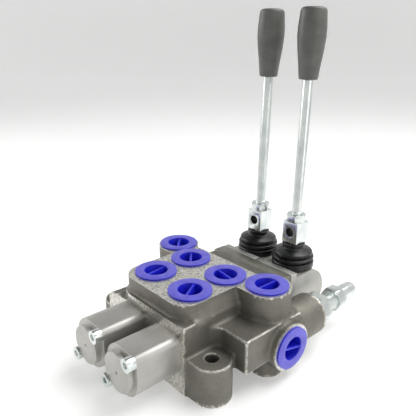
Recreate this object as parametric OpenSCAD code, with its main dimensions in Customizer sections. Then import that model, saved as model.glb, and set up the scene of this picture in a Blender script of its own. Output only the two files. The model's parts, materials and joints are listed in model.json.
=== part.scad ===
// Hydraulic monoblock directional valve with two spools and two hand levers.
// X runs across the spools, Y along them towards the levers, Z up from the mounting face.
// The origin lies on the mounting face, under the middle of the four work ports.

/* [Spools] */
// Distance between the two spool axes
spool_pitch = 35; // [35:1:44]
// Height of the spool axes above the mounting face
spool_z = 24; // [23:1:27]
// Diameter of a spool
spool_d = 16; // [14:0.5:16]
// Travel of a spool each way from neutral
spool_stroke = 5.5; // [4:0.5:5.5]
// Width of one groove ground into a spool
spool_groove = 6; // [4:0.5:8]
// Depth of a spool groove
spool_groove_depth = 2.5; // [1:0.5:3.5]

/* [Ports] */
// Distance between the A and B ports of one spool
port_spacing = 30; // [29:1:36]
// Wall diameter of a G1/2 port
port_d = 19; // [15:0.5:19]
// Depth of a port's threaded part
port_depth = 17; // [14:1:20]
// Diameter of the drilled passage under a port
passage_d = 12; // [8:0.5:12]
// Outer diameter of a port plug's flange
plug_flange_d = 27.5; // [24:0.5:28]
// Thickness of a port plug's flange
plug_flange_t = 1.2; // [0.8:0.1:2]
// Depth of a port plug's shank
plug_depth = 10; // [6:1:12]
// Wall and web thickness of a port plug
plug_wall = 1.5; // [1:0.1:2]

/* [Casting] */
// Height of the machined deck above the mounting face
body_h = 56; // [52:1:68]
// Height of the deck's wall above the ledge
deck_rise = 10; // [6:1:12]
// Corner radius of the deck
deck_r = 13; // [8:1:14]
// Material between a spool axis and the side of the deck
deck_side = 15; // [14.5:0.5:17]
// Material between a spool axis and the side of the main block
body_side = 18.5; // [18.5:0.5:22]
// Material between a spool axis and the left side of the shoulder under the deck
shoulder_side = 15.4; // [15:0.1:18]
// Radius of the shoulder's left front corner
shoulder_r = 14; // [8:1:16]
// Distance from a front port's centre to the front face
front_margin = 20.7; // [20:0.1:26]
// Distance from a back port's centre to the joint face
back_margin = 38; // [37:1:46]
// Distance from the deck's front edge to the front face
front_ledge = 2.7; // [1:0.1:4]
// Distance from a back port's centre to the deck's back edge
deck_back_margin = 16.4; // [15:0.1:20]
// Height of the top of the side galleries
gallery_top = 38.5; // [37:0.5:41]
// Height of the underside of the side galleries
gallery_bottom = 16; // [6:1:16]

/* [Inlet and outlet] */
// Distance of the inlet port from the nearer spool axis
inlet_out = 27; // [27:0.5:32]
// Distance of the outlet port from the nearer spool axis
outlet_out = 26.2; // [26:0.1:31]
// Distance of the inlet and outlet ports behind the middle of the work ports
inlet_y = 25.2; // [24:0.2:27]
// Radius of the bosses round the inlet ports
inlet_r = 15.6; // [15:0.1:17]
// Radius of the boss round the outlet port
outlet_r = 14.6; // [14:0.1:16]
// Reach of the side galleries behind the inlet and outlet ports
gallery_back = 14.6; // [13:0.1:15]
// Radius of the hollow where the inlet gallery meets the block
gallery_fillet = 7; // [3:0.5:9]
// Reach of the inlet gallery from the nearer spool axis
gallery_out = 43.9; // [43:0.1:48]
// Reach of the side inlet's face from the relief valve's axis
side_port_out = 15.5; // [15:0.5:20]
// Height of the side inlet's axis
side_port_z = 21.5; // [20:0.5:23]
// Length of the inlet gallery in front of the inlet port
gallery_reach = 35.2; // [30:0.2:40]
// Reach of the outlet beam from the nearer spool axis
beam_out = 27.5; // [26:0.5:32]

/* [Mounting feet] */
// Distance of the right ear's hole from the nearer spool axis
ear_right_out = 27.5; // [27:0.5:32]
// Distance of the left ear's hole from the nearer spool axis
ear_left_out = 32.5; // [30:0.5:36]
// Distance of the ear holes in front of the middle of the work ports
ear_y = 22; // [20:0.5:23]
// Outer radius of an ear
ear_r = 12.5; // [10:0.5:14]
// Height of an ear
ear_h = 25.5; // [12:0.5:30]
// Diameter of an ear's hole
ear_hole_d = 8.5; // [6:0.5:11]
// Distance of the third foot from the nearer spool axis
foot_out = 32.5; // [31:0.5:36]
// Distance of the third foot behind the middle of the work ports
foot_y = 21; // [18:1:24]
// Radius of the third foot
foot_r = 10.5; // [8:0.5:12]
// Wall diameter of the third foot's M8 hole
foot_hole_d = 6.8; // [5:0.1:8.5]
// Depth of the third foot's hole
foot_hole_depth = 12; // [8:1:13]

/* [Spring caps] */
// Length of a spring cap
cap_len = 30.3; // [28:0.1:44]
// Gap between the two spring caps
cap_gap = 3.4; // [1:0.2:3.6]
// Corner radius at the screw corners of a cap
cap_tight_r = 4; // [3:0.5:4]
// Radius of the round boss on a cap's end
cap_boss_r = 12.5; // [9:0.5:13]
// Height of the round boss on a cap's end
cap_boss_t = 3.8; // [2:0.1:6]
// Radius of a cap's cavity
cap_bore_r = 10.8; // [10.8:0.1:11]
// Thickness of a cap's end wall
cap_end_t = 4; // [3:0.5:6]
// Distance of a cap screw from the cap's two nearer sides
cap_screw_inset = 3.9; // [3.8:0.1:4.2]

/* [Centring springs] */
// Thickness of the seat against the casting
seat_in_t = 2.5; // [2:0.5:4]
// Thickness of the seat at the cap's end
seat_out_t = 2.5; // [2:0.5:4]
// Wire diameter of a centring spring
centring_wire = 1.8; // [1:0.1:2]
// Number of turns of a centring spring
centring_turns = 5; // [3:1:7]
// Diameter of the spool bolt's shank
spool_bolt_d = 6; // [5:0.5:7]
// Length of the spool bolt's shank
spool_bolt_len = 14; // [8:1:16]
// Diameter of the spool bolt's head
spool_bolt_head_d = 10; // [9:0.5:10]
// Height of the spool bolt's head
spool_bolt_head_t = 5; // [4:0.5:6]

/* [Lever housings] */
// Thickness of the joint plate
plate_t = 9.7; // [7:0.1:14]
// Distance of the joint plate's sides from the sides of the main block
plate_inset = 2; // [0:0.5:4]
// Height of the joint plate's underside
plate_bottom = 6; // [0:1:8]
// Distance of a lever's pivot behind the joint plate
lever_back = 22.3; // [22:0.1:28]
// Radius of the round end of a lever housing
house_r = 17.5; // [17:0.5:19]
// Gap between the two lever housings
house_gap = 1.4; // [1:0.2:3]
// Thickness of a lever housing's flange
house_flange_t = 6; // [4:0.5:8]
// Height of a housing's flange above its flat top
house_lip = 4; // [0:0.5:5]
// Outer radius of the collar that holds a ball
collar_r = 12; // [11:0.5:12]
// Height of the collar above the housing
collar_h = 6; // [5.5:0.5:7]

/* [Levers] */
// Height of a lever's pivot above the spool axis
pivot_rise = 18; // [18:0.5:20]
// Radius of the pivot ball
ball_r = 7; // [7:0.1:7.5]
// Radius of the ball tip that moves a spool
tip_r = 4; // [3.5:0.1:4.5]
// Lean of a lever away from the ports at rest, in degrees
lever_lean = 1.9; // [0:0.1:2]
// Diameter of a stem above its ball
stem_d = 9; // [8:0.5:9]
// Height of the clamp block's underside above the pivot
block_z = 18.3; // [18:0.1:24]
// Width of a clamp block
block_w = 13; // [12:0.5:18]
// Height of a clamp block
block_h = 15.7; // [14:0.1:24]
// Wall diameter of a clamp block's M8 side hole
side_hole_d = 6.8; // [5:0.1:7.5]
// Diameter of a lever's threaded end
rod_thread_d = 8; // [7:0.5:8]
// Diameter of a lever rod
rod_d = 7.1; // [5:0.1:8]
// Length of a lever rod that shows between lock nut and grip
rod_len = 94.1; // [60:0.1:130]
// Width across the flats of a lock nut
lock_nut_w = 13; // [12:0.5:17]
// Height of a lock nut
lock_nut_h = 5.6; // [4:0.1:8]
// Length of a grip
grip_len = 45; // [36:1:60]
// Diameter of a grip at its widest
grip_d = 18.8; // [15:0.1:24]
// Diameter of a grip's lower end
grip_low_d = 12.8; // [11:0.1:14]
// Diameter of a grip's top
grip_top_d = 17.2; // [14:0.1:18]

/* [Boots] */
// Half of the width of a boot's square foot
boot_half = 14; // [13.5:0.1:15]
// Radius of a boot's folds
boot_r = 15.5; // [15:0.1:16]
// Corner radius of a boot's foot
boot_corner = 7; // [5:0.5:11]
// Height of a boot
boot_h = 18.3; // [17:0.1:18.4]
// Radius of a boot's neck
boot_neck_r = 8.3; // [7:0.1:8.5]

/* [Relief valve] */
// Distance of the relief valve's axis from the side of the lever housing
relief_side = 16.7; // [16.2:0.5:20.2]
// Radius of the relief valve's boss
relief_r = 14.2; // [13:0.1:14.2]
// Length of the relief valve's boss behind the inlet ports
relief_len = 38; // [37.5:0.1:50]
// Diameter of the relief valve's sleeve
sleeve_d = 16; // [15:0.5:18]
// Length of the sleeve inside the casting
sleeve_len = 20.5; // [19.5:0.5:24]
// Width across the flats of the sleeve's hexagon
sleeve_hex_w = 20; // [19:0.5:25]
// Length of the sleeve's hexagon
sleeve_hex_len = 10; // [6:0.5:12]
// Diameter of the sleeve's neck behind its hexagon
sleeve_neck_d = 13; // [11:0.5:14]
// Length of the sleeve outside the casting
sleeve_out = 23.2; // [21.5:0.1:28]
// Outer diameter of the sealing washer
washer_d = 26; // [20:0.5:27]
// Thickness of the sealing washer
washer_t = 1.6; // [1:0.1:3]
// Diameter of the adjusting screw
adjuster_d = 8; // [6:0.5:8]
// Width across the flats of the adjusting screw's lock nut
relief_nut_w = 16; // [15:0.5:18]
// Outer diameter of the adjuster's cap
relief_cap_d = 12.4; // [11:0.1:15]
// Length of the adjuster's cap
relief_cap_len = 18.5; // [17:0.5:26]

/* [Load check] */
// Height of the load check's axis
check_z = 9; // [9:0.5:9.5]
// Diameter of the load check's chamber
check_d = 12; // [10:0.5:12]
// Diameter of the load check's seat hole
check_seat_d = 6.5; // [5:0.1:7]
// Length of the load check's plug
check_plug_len = 8; // [6:0.5:9]
// Length of the load check's poppet
check_poppet_len = 8; // [6:0.5:9]

/* [Fasteners] */
// Diameter of the socket screws
screw_d = 5; // [4:0.5:5]
// Diameter of a socket screw's head
screw_head_d = 8.5; // [7:0.1:8.5]
// Height of a socket screw's head
screw_head_h = 5; // [4:0.1:6]
// Width across the flats of a screw's socket
screw_socket_w = 4; // [3:0.1:4]
// Length of thread in the casting
screw_grip = 12; // [8:1:14]

/* [Clearances] */
// Radial clearance of a spool or poppet in its bore
run_gap = 0.03; // [0.01:0.01:0.08]
// Radial clearance of a thread or a shank that is only held
hold_gap = 0.05; // [0.02:0.01:0.2]
// Radial clearance of a screw through a loose hole
screw_gap = 0.3; // [0.1:0.05:0.5]
// Clearance of a ball tip in its spool's eye
tip_gap = 0.13; // [0.13:0.01:0.2]
// Radial clearance of a port plug's shank
plug_gap = 0.2; // [0.1:0.05:0.4]
// Gap between parts that must not rub
free_gap = 0.3; // [0.2:0.05:0.5]

/* [Hidden] */
$fn = 64;
SPOOLS = [1, 2];

iron = [0.55, 0.54, 0.49];
aluminium = [0.74, 0.73, 0.70];
zinc = [0.80, 0.84, 0.84];
steel = [0.62, 0.63, 0.65];
blue = [0.33, 0.31, 0.80];
rubber = [0.07, 0.07, 0.07];
grip_brown = [0.27, 0.26, 0.24];

// Plan of the casting
spool_edge = spool_pitch / 2;
deck_x = spool_edge + deck_side;
body_x = spool_edge + body_side;
shoulder_x = spool_edge + shoulder_side;
front_y = -port_spacing / 2 - front_margin;
joint_y = port_spacing / 2 + back_margin;
deck_front_y = front_y + front_ledge;
deck_back_y = port_spacing / 2 + deck_back_margin;
ledge_z = body_h - deck_rise;
inlet_x = spool_edge + inlet_out;
outlet_x = spool_edge + outlet_out;
gallery_x = spool_edge + gallery_out;
gallery_front_y = inlet_y - gallery_reach;
gallery_back_y = inlet_y + gallery_back;
beam_x = spool_edge + beam_out;
ear_right_x = spool_edge + ear_right_out;
ear_left_x = spool_edge + ear_left_out;
foot_x = spool_edge + foot_out;
house_half = (spool_pitch - house_gap) / 2;
relief_x = spool_edge + house_half + relief_side;
side_port_x = relief_x + side_port_out;
relief_y = inlet_y + relief_len;

// Inner passages
seal_r = spool_d / 2 + 2.7;
seal_depth = 3;
ring_r = spool_d / 2 + 2.5;
ring_w = 6;
body_port_z = body_h - port_depth;
return_d = 5;
return_y = inlet_y + passage_d / 2 + return_d / 2 + 1.3;
return_z = body_port_z - return_d / 2 - 1.5;
relief_return_d = 4.4;
bridge_d = 5;
feed_x = spool_edge + 13.5;
check_seat_x = -spool_edge + 8.5;

// Cap, spring and bolt
cap_half = (spool_pitch - cap_gap) / 2;
cap_round_r = cap_half - 0.5;
cap_screw_at = cap_half - cap_screw_inset;
cap_end_y = front_y - cap_len;
cavity_end_y = cap_end_y + cap_end_t;
spool_front_y = front_y - free_gap;
seat_r = cap_bore_r - 0.4;
seat_out_bore_r = spool_bolt_head_d / 2 + 0.4;
centring_r = seat_r - centring_wire / 2 - 0.4;

// Lever housing and lever
plate_back_y = joint_y + plate_t;
pivot_y = plate_back_y + lever_back;
pivot_z = spool_z + pivot_rise;
house_top = spool_z + house_r;
house_pad = 0.8;
house_screw_at = house_half - cap_screw_inset;
tail_end_y = pivot_y + 7;
tail_t = 5;
tail_w = 13;
tail_start_y = pivot_y - spool_stroke - tip_r - 4;
cavity_r = spool_d / 2 + 1;
cavity_back_y = tail_end_y + spool_stroke + 1;
cup_r = 9.5;
cup_z = pivot_z + free_gap;
cup_h = 3.1;
circlip_t = 1;
circlip_r = cup_r + 1;
circlip_z = cup_z + cup_h + hold_gap;
arm_r = 2.8;
throat_drop = 4.5;
side_hole_z = block_z + block_h / 2;
stem_end = side_hole_z - side_hole_d / 2 - 0.7;
rod_start = side_hole_z + side_hole_d / 2 + 0.4;
block_top = block_z + block_h;
nut_top = block_top + lock_nut_h;
thread_end = nut_top + 1.5;
grip_start = nut_top + rod_len;
grip_bore_len = grip_len * 0.7;

// Relief valve, from the inside out
sleeve_in_y = relief_y - sleeve_len;
relief_seat_len = 7;
relief_seat_y = sleeve_in_y - relief_seat_len;
relief_hole_d = 6;
sleeve_port_r = 1.5;
sleeve_port_y = sleeve_in_y + 2.6;
relief_return_x = relief_x - sleeve_d / 2 - relief_return_d / 2 - 1.3;
relief_poppet_y = sleeve_in_y + hold_gap;
relief_poppet_len = 9;
relief_bore_d = 10;
relief_spring_r = 3.6;
relief_wire = 1.3;
sleeve_end_y = relief_y + washer_t + sleeve_out;
adjuster_in_y = relief_y + 3.5;
adjuster_end_y = sleeve_end_y + 16;
relief_nut_h = 8;

// Load check, from the seat out to the plug
check_plug_x = -body_x;
check_poppet_x = check_seat_x - hold_gap;
check_spring_r = 3.4;
check_wire = 1;

function spool_x(i) = (i - 1.5) * spool_pitch;

// A block given by its lowest and highest corners
module block(low, high) {
    translate(low) cube(high - low);
}

// A rectangle with round corners
module round_rect(low, high, r) {
    translate([low[0] + r, low[1]]) square([high[0] - low[0] - 2 * r, high[1] - low[1]]);
    translate([low[0], low[1] + r]) square([high[0] - low[0], high[1] - low[1] - 2 * r]);
    for (x = [low[0] + r, high[0] - r], y = [low[1] + r, high[1] - r])
        translate([x, y]) circle(r);
}

// A cylinder along +X, and one along +Y, from the given point
module rod_x(at, r, length) {
    translate(at) rotate([0, 90, 0]) cylinder(h = length, r = r);
}

module rod_y(at, r, length) {
    translate(at) rotate([-90, 0, 0]) cylinder(h = length, r = r);
}

module rod_z(at, r, length) {
    translate(at) cylinder(h = length, r = r);
}

// A hexagonal prism by its width across the flats
module hexagon(width, height) {
    cylinder(h = height, r = width / sqrt(3), $fn = 6);
}

// A round-wire coil along +Z, swept as rings of six corners
module coil(r, wire, length, turns) {
    corners = 6;
    steps = turns * 14;
    rise = length - wire;
    function ring(k) =
        let (turn = 360 * turns * k / steps)
        [for (c = [0 : corners - 1])
            let (a = 360 * c / corners, out = r + wire / 2 * cos(a))
            [out * cos(turn), out * sin(turn), wire / 2 + rise * k / steps + wire / 2 * sin(a)]];
    points = [for (k = [0 : steps]) each ring(k)];
    sides = [for (k = [0 : steps - 1]) for (c = [0 : corners - 1])
        let (d = (c + 1) % corners, low = k * corners, high = low + corners)
        each [[low + c, high + c, high + d], [low + c, high + d, low + d]]];
    first = [for (c = [0 : corners - 1]) c];
    last = [for (c = [corners - 1 : -1 : 0]) steps * corners + c];
    polyhedron(points, concat(sides, [first, last]));
}

// A socket screw pointing down, its head standing on z = 0
module socket_screw(length) {
    difference() {
        union() {
            cylinder(h = screw_head_h, r = screw_head_d / 2);
            translate([0, 0, -length]) cylinder(h = length, r = screw_d / 2);
        }
        translate([0, 0, screw_head_h * 0.4]) hexagon(screw_socket_w, screw_head_h);
    }
}

// Outside of the casting
module casting_outside() {
    translate([0, 0, ledge_z - 1])
        linear_extrude(deck_rise + 1)
            round_rect([-deck_x, deck_front_y], [deck_x, deck_back_y], deck_r);
    block([-body_x, front_y, 0], [body_x, joint_y, gallery_top + 1]);
    translate([0, 0, gallery_top]) linear_extrude(ledge_z - gallery_top) shoulder_plan();
    deck_draft();
    inlet_side();
    outlet_side();
    ear(ear_right_x, 1);
    ear(-ear_left_x, -1);
}

// Plan of the block between the galleries and the ledge, round at its left front corner
module shoulder_plan() {
    translate([-shoulder_x, front_y + shoulder_r])
        square([shoulder_x + body_x, joint_y - front_y - shoulder_r]);
    translate([shoulder_r - shoulder_x, front_y])
        square([shoulder_x + body_x - shoulder_r, joint_y - front_y]);
    translate([shoulder_r - shoulder_x, front_y + shoulder_r]) circle(shoulder_r);
}

// Sloping wall that carries the deck's right side out to the block's side
module deck_draft() {
    foot = body_x - 0.6;
    head = deck_x - 0.3;
    translate([0, inlet_y - inlet_r + 2, 0])
        rotate([90, 0, 0])
            linear_extrude(inlet_y - inlet_r + 2 - deck_front_y - deck_r)
                polygon([[head - 3, ledge_z - 1], [foot, ledge_z - 1], [foot, ledge_z],
                         [head, body_h - 1], [head - 3, body_h - 1]]);
}

// Inlet gallery with its top boss, side boss, relief boss and foot
module inlet_side() {
    block([body_x - 1, gallery_front_y, gallery_bottom], [gallery_x, gallery_back_y, gallery_top]);
    gallery_corner();
    translate([0, 0, gallery_bottom])
        linear_extrude(body_h - gallery_bottom) port_boss(inlet_x, inlet_r);
    rod_x([body_x, inlet_y, side_port_z], inlet_r, side_port_x - body_x);
    rod_y([relief_x, inlet_y, spool_z], relief_r, relief_len);
    block([body_x - 1, inlet_y, spool_z - relief_r / 2],
          [relief_x, joint_y, spool_z + relief_r / 2]);
    rod_z([foot_x, foot_y, 0], foot_r, gallery_bottom + 3);
}

// Fills the corner between the block and the gallery, hollowed to a round
module gallery_corner() {
    r = gallery_fillet;
    difference() {
        block([body_x - 1, gallery_front_y - r, gallery_bottom],
              [body_x + r, gallery_front_y + 1, gallery_top]);
        rod_z([body_x + r, gallery_front_y - r, gallery_bottom - 1], r, body_h);
    }
}

// Outlet beam with its top boss
module outlet_side() {
    round_r = 6;
    translate([0, gallery_back_y, 0])
        rotate([90, 0, 0])
            linear_extrude(gallery_back_y - front_y)
                round_rect([-beam_x, gallery_bottom], [2 * round_r - body_x, gallery_top], round_r);
    translate([0, 0, gallery_bottom])
        linear_extrude(body_h - gallery_bottom) mirror([1, 0]) port_boss(outlet_x, outlet_r);
}

// Plan of a port's boss on the right side, joined to the deck
module port_boss(x, r) {
    translate([x, inlet_y]) circle(r);
    translate([deck_x - deck_r, inlet_y - r])
        square([x - deck_x + deck_r, deck_back_y - inlet_y + r]);
}

// A mounting ear on the side that side names, 1 for right and -1 for left
module ear(x, side) {
    near = side * (body_x - 1);
    linear_extrude(ear_h) {
        translate([x, -ear_y]) circle(ear_r);
        translate([min(x, near), -ear_y - ear_r]) square([abs(x - near), 2 * ear_r]);
    }
}

// Bores, ports and passages of the casting
module casting_inside() {
    for (i = SPOOLS) {
        x = spool_x(i);
        rod_y([x, front_y - 1, spool_z], spool_d / 2 + run_gap, joint_y - front_y + 2);
        rod_y([x, front_y - 1, spool_z], seal_r, seal_depth + 1);
        rod_y([x, joint_y - seal_depth, spool_z], seal_r, seal_depth + 1);
        for (y = [-port_spacing / 2, 0, port_spacing / 2, return_y])
            rod_y([x, y - ring_w / 2, spool_z], ring_r, ring_w);
        for (y = [-port_spacing / 2, port_spacing / 2])
            port_hole([x, y, body_h], body_h - spool_z);
        for (s = [-1, 1]) {
            rod_y([x + s * cap_screw_at, front_y - 1, spool_z + s * cap_screw_at],
                  screw_d / 2 + hold_gap, screw_grip + 2);
            rod_y([x + s * house_screw_at, joint_y - screw_grip - 1, spool_z - s * house_screw_at],
                  screw_d / 2 + hold_gap, screw_grip + 2);
        }
    }
    port_hole([inlet_x, inlet_y, body_h], body_h - side_port_z);
    port_hole([-outlet_x, inlet_y, body_h], body_h - return_z + return_d / 2 + 1);
    translate([side_port_x, inlet_y, side_port_z])
        rotate([0, 90, 0]) port_hole([0, 0, 0], side_port_x - feed_x);
    passages();
    relief_hole();
    for (x = [ear_right_x, -ear_left_x])
        rod_z([x, -ear_y, -1], ear_hole_d / 2, ear_h + 2);
    rod_z([foot_x, foot_y, -1], foot_hole_d / 2, foot_hole_depth + 1);
}

// A port bored down from the point at, with a passage of the given reach below it
module port_hole(at, reach) {
    translate(at) {
        translate([0, 0, -port_depth]) cylinder(h = port_depth + 1, r = port_d / 2);
        translate([0, 0, -reach]) cylinder(h = reach, r = passage_d / 2);
    }
}

// Return passages above the spools and feed passages below them
module passages() {
    rod_x([-outlet_x, return_y, return_z], return_d / 2, outlet_x + relief_return_x);
    rod_y([-outlet_x, inlet_y, return_z], return_d / 2, return_y - inlet_y);
    rod_z([relief_return_x, return_y, spool_z], relief_return_d / 2, return_z - spool_z);
    rod_y([relief_return_x, return_y, spool_z], relief_return_d / 2, sleeve_port_y - return_y);
    rod_z([feed_x, inlet_y, check_z], check_seat_d / 2, side_port_z - check_z);
    rod_y([feed_x, 0, check_z], check_seat_d / 2, inlet_y);
    rod_x([check_seat_x - 1, 0, check_z], check_seat_d / 2, feed_x - check_seat_x + 1);
    rod_x([check_plug_x - 1, 0, check_z], check_d / 2 + run_gap, check_seat_x - check_plug_x + 1);
    rod_z([-spool_edge, 0, check_z], bridge_d / 2, spool_z - check_z);
    rod_x([-spool_edge, 0, spool_z - 5], bridge_d / 2, spool_pitch);
}

// Bore of the relief valve, from its boss's end to the inlet passage
module relief_hole() {
    rod_y([relief_x, sleeve_in_y - relief_seat_len, spool_z], sleeve_d / 2 + hold_gap,
          sleeve_len + relief_seat_len + 1);
    rod_y([relief_x, inlet_y, spool_z], relief_hole_d / 2 + 1, relief_seat_y - inlet_y + 1);
    rod_y([relief_x, sleeve_port_y - sleeve_port_r, spool_z], sleeve_d / 2 + 2, 2 * sleeve_port_r);
}

module casting() {
    color(iron)
        difference() {
            casting_outside();
            casting_inside();
        }
}

module joint_plate() {
    color(iron)
        difference() {
            block([-body_x + plate_inset, joint_y, plate_bottom],
                  [body_x - plate_inset, plate_back_y, ledge_z]);
            for (i = SPOOLS) {
                rod_y([spool_x(i), joint_y - 1, spool_z], spool_d / 2 + free_gap, plate_t + 2);
                for (s = [-1, 1])
                    rod_y([spool_x(i) + s * house_screw_at, joint_y - 1,
                           spool_z - s * house_screw_at], screw_d / 2 + screw_gap, plate_t + 2);
            }
        }
}

// Four O-rings, one at each end of each spool bore
module spool_seals() {
    wire = seal_r - spool_d / 2 - 2 * hold_gap;
    color(rubber)
        for (i = SPOOLS, y = [front_y + seal_depth / 2, joint_y - seal_depth / 2])
            translate([spool_x(i), y, spool_z])
                rotate([90, 0, 0])
                    rotate_extrude()
                        translate([(seal_r + spool_d / 2) / 2, 0]) circle(wire / 2, $fn = 24);
}

module spool(i) {
    x = spool_x(i);
    color(steel)
        difference() {
            union() {
                rod_y([x, spool_front_y, spool_z], spool_d / 2, tail_start_y - spool_front_y);
                block([x - tail_w / 2, tail_start_y - 1, spool_z - tail_t / 2],
                      [x + tail_w / 2, tail_end_y, spool_z + tail_t / 2]);
            }
            for (y = [-port_spacing / 2, port_spacing / 2])
                spool_ring(x, y + sign(y) * (ring_w + spool_groove) / 2);
            rod_z([x, pivot_y, 0], tip_r + tip_gap, 2 * spool_z);
            rod_y([x, spool_front_y - 1, spool_z], spool_bolt_d / 2 + hold_gap, 13);
        }
}

// A groove round a spool at the given place
module spool_ring(x, y) {
    difference() {
        rod_y([x, y - spool_groove / 2, spool_z], spool_d / 2 + 1, spool_groove);
        rod_y([x, y - spool_groove, spool_z], spool_d / 2 - spool_groove_depth, 2 * spool_groove);
    }
}

// Outline of a cap: round at two corners, tight at the two that carry screws
module cap_outline() {
    far = cap_half;
    tight = cap_half - cap_tight_r;
    wide = cap_half - cap_round_r;
    for (s = [-1, 1]) {
        translate([s * tight, s * tight]) circle(cap_tight_r);
        translate([-s * wide, s * wide]) circle(cap_round_r);
    }
    polygon([[-wide, far], [tight, far], [far, tight], [far, -wide],
             [wide, -far], [-tight, -far], [-far, -tight], [-far, wide]]);
}

module spring_cap(i) {
    x = spool_x(i);
    color(aluminium)
        difference() {
            union() {
                translate([x, front_y, spool_z])
                    rotate([90, 0, 0]) linear_extrude(cap_len) cap_outline();
                rod_y([x, cap_end_y - cap_boss_t, spool_z], cap_boss_r, cap_boss_t + 1);
            }
            rod_y([x, cavity_end_y, spool_z], cap_bore_r, front_y - cavity_end_y + 1);
            rod_y([x, cap_end_y - cap_boss_t - 1, spool_z], 0.8, 1.6);
            for (s = [-1, 1])
                translate([x + s * cap_screw_at, cap_end_y, spool_z + s * cap_screw_at])
                    rotate([-90, 0, 0]) {
                        translate([0, 0, -1])
                            cylinder(h = cap_len + 2, r = screw_d / 2 + screw_gap);
                        translate([0, 0, -cap_boss_t - 1])
                            cylinder(h = cap_boss_t + 1, r = screw_head_d / 2 + free_gap);
                    }
        }
}

module cap_screws() {
    color(zinc)
        for (i = SPOOLS, s = [-1, 1])
            translate([spool_x(i) + s * cap_screw_at, cap_end_y, spool_z + s * cap_screw_at])
                rotate([90, 0, 0]) socket_screw(cap_len + screw_grip);
}

// A flat spring seat along Y
module spring_seat(i, y, thickness, bore_r) {
    color(steel)
        difference() {
            rod_y([spool_x(i), y, spool_z], seat_r, thickness);
            rod_y([spool_x(i), y - 1, spool_z], bore_r, thickness + 2);
        }
}

module seat_inner(i) {
    spring_seat(i, front_y - seat_in_t, seat_in_t, spool_d / 2 + free_gap);
}

module seat_outer(i) {
    spring_seat(i, cavity_end_y, seat_out_t, seat_out_bore_r);
}

module centring_spring(i) {
    low = cavity_end_y + seat_out_t + hold_gap;
    high = front_y - seat_in_t - hold_gap;
    color(steel)
        translate([spool_x(i), low, spool_z])
            rotate([-90, 0, 0]) coil(centring_r, centring_wire, high - low, centring_turns);
}

module spool_bolt(i) {
    color(steel)
        translate([spool_x(i), spool_front_y - spool_bolt_len, spool_z])
            rotate([90, 0, 0])
                difference() {
                    union() {
                        cylinder(h = spool_bolt_head_t, r = spool_bolt_head_d / 2);
                        translate([0, 0, -spool_bolt_len - 10])
                            cylinder(h = spool_bolt_len + 10, r = spool_bolt_d / 2);
                    }
                    translate([0, 0, spool_bolt_head_t / 2]) hexagon(5, spool_bolt_head_t);
                }
}

module lever_housing(i) {
    x = spool_x(i);
    color(aluminium)
        difference() {
            union() {
                rod_x([x - house_half + house_pad, pivot_y, spool_z], house_r,
                      2 * (house_half - house_pad));
                block([x - house_half + house_pad, plate_back_y, spool_z - house_r],
                      [x + house_half - house_pad, pivot_y, house_top]);
                block([x - house_half, plate_back_y, spool_z - house_r],
                      [x + house_half, plate_back_y + house_flange_t, house_top + house_lip]);
                block([x - house_half, plate_back_y, spool_z + 3.5],
                      [x + house_half, plate_back_y + 15, house_top - 1]);
                rod_z([x, pivot_y, spool_z], collar_r, house_top + collar_h - spool_z);
            }
            rod_y([x, plate_back_y - 1, spool_z], cavity_r, cavity_back_y - plate_back_y + 1);
            ball_socket(x);
            for (s = [-1, 1])
                translate([x + s * house_screw_at, plate_back_y - 1, spool_z - s * house_screw_at])
                    rotate([-90, 0, 0]) {
                        cylinder(h = house_flange_t + 2, r = screw_d / 2 + screw_gap);
                        translate([0, 0, house_flange_t + 1])
                            cylinder(h = 3 * house_r, r = screw_head_d / 2 + free_gap);
                    }
        }
}

// Seat, counterbore, groove and throat for a lever's ball
module ball_socket(x) {
    throat_r = sqrt(pow(ball_r, 2) - pow(throat_drop, 2));
    translate([x, pivot_y, pivot_z]) {
        intersection() {
            sphere(ball_r + hold_gap);
            translate([0, 0, -throat_drop]) cylinder(h = throat_drop + ball_r, r = 2 * ball_r);
        }
        translate([0, 0, -pivot_rise + 7])
            cylinder(h = pivot_rise - 7 - throat_drop + 0.1, r1 = 8.2, r2 = throat_r);
        translate([0, 0, free_gap]) cylinder(h = 2 * collar_h, r = cup_r + hold_gap);
        translate([0, 0, circlip_z - pivot_z])
            cylinder(h = circlip_t + hold_gap, r = circlip_r);
    }
}

// The ring that holds a ball down in its socket
module ball_cup(i) {
    color(steel)
        difference() {
            rod_z([spool_x(i), pivot_y, cup_z], cup_r, cup_h);
            translate([spool_x(i), pivot_y, pivot_z]) {
                sphere(ball_r + hold_gap);
                translate([0, 0, 2]) cylinder(h = 2, r1 = 6, r2 = 7.4);
            }
        }
}

// The two retaining rings, each open towards the ports
module ball_circlips() {
    color(steel)
        for (i = SPOOLS)
            difference() {
                rod_z([spool_x(i), pivot_y, circlip_z + hold_gap / 2], circlip_r - hold_gap, circlip_t);
                rod_z([spool_x(i), pivot_y, circlip_z - 1], cup_r - 1.4, circlip_t + 3);
                block([spool_x(i) - 2, pivot_y - 2 * cup_r, circlip_z - 1],
                      [spool_x(i) + 2, pivot_y, circlip_z + circlip_t + 1]);
            }
}

// Screws that hold each lever housing and the joint plate to the casting
module housing_screws() {
    color(zinc)
        for (i = SPOOLS, s = [-1, 1])
            translate([spool_x(i) + s * house_screw_at, plate_back_y + house_flange_t,
                       spool_z - s * house_screw_at])
                rotate([-90, 0, 0]) socket_screw(house_flange_t + plate_t + screw_grip - 1);
}

// Places a lever's parts, drawn upright from the pivot, on lever i
module on_lever(i) {
    translate([spool_x(i), pivot_y, pivot_z]) rotate([-lever_lean, 0, 0]) children();
}

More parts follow.
